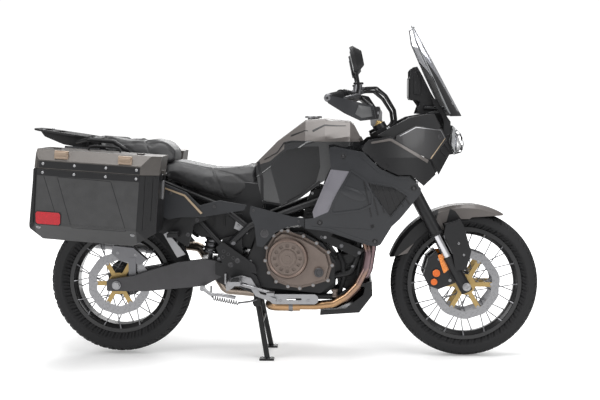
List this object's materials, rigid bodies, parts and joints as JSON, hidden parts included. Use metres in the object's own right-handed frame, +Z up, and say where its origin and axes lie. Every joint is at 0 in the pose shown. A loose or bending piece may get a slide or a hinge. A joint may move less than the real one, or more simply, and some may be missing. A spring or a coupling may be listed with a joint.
{
  "type": "adventure motorcycle",
  "caption": "Adventure motorcycle with a tall screen, spoked wheels, shaft drive and two hard side cases, parked on its centre stand.",
  "frame": {"origin": "on the floor under the middle of the overall box", "axes": "+X forward, +Y to the rider's left, +Z up"},
  "size_m": [2.2464, 1.0056, 1.466],
  "materials": {
    "front_tyre": "moulded rubber",
    "rear_tyre": "moulded rubber",
    "rims": "black anodised",
    "hubs": "black hub with bright spokes",
    "rotors": "ground steel",
    "chrome_tubes": "hard chrome",
    "fork_black": "satin black",
    "frame_black": "satin black",
    "alloy": "silver",
    "black_plastic": "matt black",
    "rubber": "grips",
    "taupe": "satin metallic",
    "charcoal": "charcoal gloss",
    "engine": "black cast metal",
    "bronze_cover": "bronze-brown",
    "exhaust": "heat-coloured steel",
    "silencer": "satin steel",
    "skid": "bare aluminium",
    "radiator": "black",
    "seat": "grained black vinyl",
    "strut": "violet grey",
    "lens": "clear",
    "screen": "clear",
    "red_lens": "red lens",
    "amber_lens": "amber lens",
    "case_body": "satin charcoal",
    "case_lid": "satin taupe",
    "caliper": "dark cast",
    "dark_steel": "dark steel"
  },
  "bodies": {
    "chassis": {"main_frame": "frame_black", "subframe": "frame_black", "case_carriers": "frame_black", "engine": "engine", "engine_covers": "bronze_cover", "exhaust_headers": "exhaust", "silencer": "silencer", "skid_plate": "skid", "radiator": "radiator", "fuel_tank": "taupe", "fuel_cap": "alloy", "rider_seat": "seat", "pillion_seat": "seat", "upper_cowls": "black_plastic", "lower_cowls": "charcoal", "side_struts": "strut", "nose_cowl": "charcoal", "headlight_lens": "lens", "headlight_housing": "black_plastic", "windscreen": "screen", "instrument_mount": "black_plastic", "tail_panels": "charcoal", "rear_rack": "alloy", "grab_rails": "frame_black", "rear_fender": "black_plastic", "tail_light": "red_lens", "indicators": "amber_lens", "pannier_left": "case_body", "pannier_right": "case_body", "swingarm": "frame_black", "rear_caliper": "caliper", "rear_shock": "dark_steel", "footrests": "alloy", "pedals": "alloy"},
    "front_wheel": {"front_tyre": "front_tyre", "front_rim": "rims", "front_hub": "hubs", "front_rotors": "rotors"},
    "rear_wheel": {"rear_tyre": "rear_tyre", "rear_rim": "rims", "rear_hub": "hubs", "rear_rotor": "rotors"},
    "steering": {"axle_holders": "fork_black", "fork_sliders": "chrome_tubes", "fork_tubes": "fork_black", "triple_clamps": "fork_black", "handlebar": "frame_black", "risers": "alloy", "guards": "black_plastic", "grips": "rubber", "controls": "caliper", "mirrors": "black_plastic", "brake_hoses": "rubber", "front_fender": "taupe", "front_calipers": "caliper"},
    "centre_stand": {"centre_stand": "frame_black"},
    "side_stand": {"side_stand": "frame_black"},
    "lid_left": {"lid_left": "case_lid"},
    "lid_right": {"lid_right": "case_lid"}
  },
  "joints": [
    {"name": "steering", "type": "hinge", "parent": "chassis", "child": "steering", "pos_m": [0.51948, 0, 0.75357], "axis": [-0.4695, 0, 0.8829], "range_deg": [-32, 32]},
    {"name": "front_wheel_spin", "type": "hinge", "parent": "steering", "child": "front_wheel", "pos_m": [0.7945, 0, 0.329], "axis": [0, 1, 0], "continuous": true},
    {"name": "rear_wheel_spin", "type": "hinge", "parent": "chassis", "child": "rear_wheel", "pos_m": [-0.7455, 0, 0.331], "axis": [0, 1, 0], "continuous": true},
    {"name": "centre_stand_fold", "type": "hinge", "parent": "chassis", "child": "centre_stand", "pos_m": [-0.1255, 0, 0.25], "axis": [0, 1, 0], "range_deg": [0, 95]},
    {"name": "side_stand_fold", "type": "hinge", "parent": "chassis", "child": "side_stand", "pos_m": [0.0545, 0.226, 0.226], "axis": [0, -0.9397, -0.342], "range_deg": [0, 92]},
    {"name": "lid_left_hinge", "type": "hinge", "parent": "chassis", "child": "lid_left", "pos_m": [-0.50214, 0.31, 0.83122], "axis": [0, 1, 0], "range_deg": [0, 80]},
    {"name": "lid_right_hinge", "type": "hinge", "parent": "chassis", "child": "lid_right", "pos_m": [-0.50214, -0.31, 0.83122], "axis": [0, 1, 0], "range_deg": [0, 80]}
  ]
}
